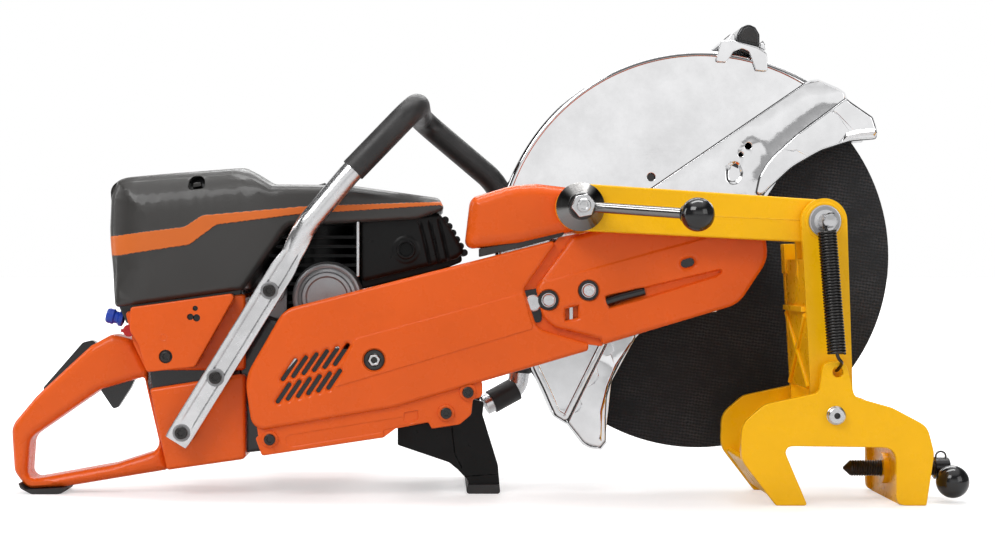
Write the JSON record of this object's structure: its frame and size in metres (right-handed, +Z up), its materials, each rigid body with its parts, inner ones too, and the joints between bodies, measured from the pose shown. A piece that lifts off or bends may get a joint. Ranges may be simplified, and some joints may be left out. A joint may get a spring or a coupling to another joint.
{
  "type": "rail cutting saw",
  "caption": "Petrol cut-off saw with a belt-driven abrasive disc, a polished blade guard and an articulated yellow rail clamp.",
  "frame": {"origin": "on the ground under the middle of the whole machine, standing on its rear foot, front foot and clamp jaws", "axes": "+X from the rear handle towards the clamp end, +Z up, -Y the side of the belt covers and clamp arm, +Y the starter side"},
  "size_m": [0.9465, 0.36, 0.4804],
  "materials": {
    "orange_plastic": "gloss",
    "dark_plastic": "satin",
    "black_plastic": "gloss",
    "blue_plastic": "gloss",
    "red_plastic": "gloss",
    "rubber": "matte",
    "yellow_paint": "gloss",
    "black_paint": "satin",
    "aluminium": "brushed",
    "guard_metal": "polished",
    "cast_metal": "cast",
    "zinc_steel": "satin",
    "black_steel": "satin",
    "abrasive": "matte",
    "filter_foam": "matte"
  },
  "bodies": {
    "saw_body": {"air_filter": "filter_foam", "arm_bolts": "zinc_steel", "bearings": "zinc_steel", "belt_cover_front": "orange_plastic", "belt_cover_rear": "orange_plastic", "body_screws": "black_steel", "carburettor": "cast_metal", "clamp_stud": "zinc_steel", "coupling_bracket": "orange_plastic", "crankcase": "cast_metal", "cutting_arm": "orange_plastic", "cylinder": "black_paint", "drive_belt": "rubber", "front_handle": "aluminium", "front_stand": "black_paint", "fuel_tank": "orange_plastic", "handle_dampers": "rubber", "handle_sleeve": "rubber", "muffler": "black_paint", "piston": "cast_metal", "rear_handle_far": "orange_plastic", "rear_handle_near": "orange_plastic", "rear_housing": "orange_plastic", "rubber_feet": "rubber", "spark_plug": "zinc_steel", "starter_cover": "orange_plastic", "top_cover": "dark_plastic"},
    "disc_group": {"spindle": "zinc_steel", "driven_pulley": "zinc_steel", "disc_flanges": "zinc_steel", "abrasive_disc": "abrasive", "spindle_bolt": "zinc_steel"},
    "clutch_group": {"clutch_drum": "zinc_steel"},
    "crank_group": {"crankshaft": "zinc_steel", "clutch_shoes": "zinc_steel", "flywheel_fan": "cast_metal"},
    "guard_group": {"guard_shell_near": "guard_metal", "guard_shell_far": "guard_metal", "guard_panels": "guard_metal", "guard_handle": "guard_metal"},
    "trigger": {"throttle_trigger": "black_plastic"},
    "lockout": {"throttle_lockout": "black_plastic"},
    "choke": {"choke_knob": "blue_plastic"},
    "switch": {"stop_switch": "red_plastic"},
    "tank_cap": {"fuel_cap": "black_plastic"},
    "pull_handle": {"starter_handle": "black_plastic"},
    "pull_drum": {"starter_drum": "black_plastic"},
    "upper_arm_group": {"upper_arm": "yellow_paint", "lock_cone": "black_steel"},
    "lever_group": {"lock_lever": "black_plastic"},
    "lower_arm_group": {"lower_arm": "yellow_paint", "elbow_pin": "zinc_steel", "return_spring": "black_steel"},
    "clamp_group": {"clamp_plate_near": "yellow_paint", "clamp_plate_far": "yellow_paint", "clamp_cross_plates": "yellow_paint", "clamp_pivot_bolt": "zinc_steel"},
    "pad_group": {"screw_pad": "zinc_steel"},
    "screw_group": {"clamp_screw": "black_steel", "screw_lever": "black_plastic"}
  },
  "joints": [
    {"name": "disc_spin", "type": "hinge", "parent": "saw_body", "child": "disc_group", "pos_m": [0.23, 0.048, 0.24], "axis": [0, 1, 0], "continuous": true},
    {"name": "clutch_drum_spin", "type": "hinge", "parent": "saw_body", "child": "clutch_group", "pos_m": [-0.166, -0.03, 0.123], "axis": [0, 1, 0], "continuous": true},
    {"name": "crank_spin", "type": "hinge", "parent": "saw_body", "child": "crank_group", "pos_m": [-0.166, 0.04, 0.123], "axis": [0, 1, 0], "continuous": true},
    {"name": "guard_tilt", "type": "hinge", "parent": "saw_body", "child": "guard_group", "pos_m": [0.23, 0.048, 0.24], "axis": [0, 1, 0], "range_deg": [-20, 50]},
    {"name": "trigger_press", "type": "hinge", "parent": "saw_body", "child": "trigger", "pos_m": [-0.352, -0.002, 0.125], "axis": [0, 1, 0], "range_deg": [0, 14], "stiffness_Nm_per_rad": 0.6, "springref_deg": -8.59},
    {"name": "lockout_press", "type": "hinge", "parent": "saw_body", "child": "lockout", "pos_m": [-0.392, -0.002, 0.146], "axis": [0, 1, 0], "range_deg": [-7, 0], "stiffness_Nm_per_rad": 0.6, "springref_deg": 8.59},
    {"name": "choke_pull", "type": "slide", "parent": "saw_body", "child": "choke", "axis": [-0.9713, 0, 0.2378], "range_m": [0, 0.012]},
    {"name": "stop_rock", "type": "hinge", "parent": "saw_body", "child": "switch", "pos_m": [-0.35, -0.032, 0.165], "axis": [0, 1, 0], "range_deg": [-12, 12]},
    {"name": "cap_turn", "type": "hinge", "parent": "saw_body", "child": "tank_cap", "pos_m": [-0.28, 0.1, 0.084], "axis": [0, 1, 0], "range_deg": [0, 90]},
    {"name": "starter_pull", "type": "slide", "parent": "saw_body", "child": "pull_handle", "axis": [0, 0, 1], "range_m": [0, 0.6], "stiffness_N_per_m": 20, "springref_m": -0.1},
    {"name": "starter_drum_spin", "type": "hinge", "parent": "saw_body", "child": "pull_drum", "pos_m": [-0.166, 0.159, 0.123], "axis": [0, 1, 0], "range_deg": [-5, 1020]},
    {"name": "upper_arm_swing", "type": "hinge", "parent": "saw_body", "child": "upper_arm_group", "pos_m": [0.097, -0.08, 0.287], "axis": [0, 1, 0], "range_deg": [-40, 8]},
    {"name": "lock_lever_turn", "type": "hinge", "parent": "upper_arm_group", "child": "lever_group", "pos_m": [0.097, -0.112, 0.287], "axis": [0, 1, 0], "range_deg": [-180, 0]},
    {"name": "elbow_swing", "type": "hinge", "parent": "upper_arm_group", "child": "lower_arm_group", "pos_m": [0.332, -0.08, 0.273], "axis": [0, 1, 0], "range_deg": [-60, 10]},
    {"name": "clamp_tilt", "type": "hinge", "parent": "lower_arm_group", "child": "clamp_group", "pos_m": [0.34, -0.05, 0.0865], "axis": [0, 1, 0], "range_deg": [-12, 12], "stiffness_Nm_per_rad": 12, "deforming": ["return_spring"]},
    {"name": "screw_feed", "type": "slide", "parent": "clamp_group", "child": "pad_group", "axis": [-1, 0, 0], "range_m": [-0.03, 0.03]},
    {"name": "screw_turn", "type": "hinge", "parent": "pad_group", "child": "screw_group", "pos_m": [0.4, -0.052, 0.0295], "axis": [1, 0, 0], "range_deg": [-2710, 2710]}
  ],
  "couplings": [
    {"joint": "clutch_drum_spin", "follows": "disc_spin", "ratio": 1.75},
    {"joint": "starter_drum_spin", "follows": "starter_pull", "rad_per_m": 29.412},
    {"joint": "screw_turn", "follows": "screw_feed", "rad_per_m": 1570.8}
  ]
}
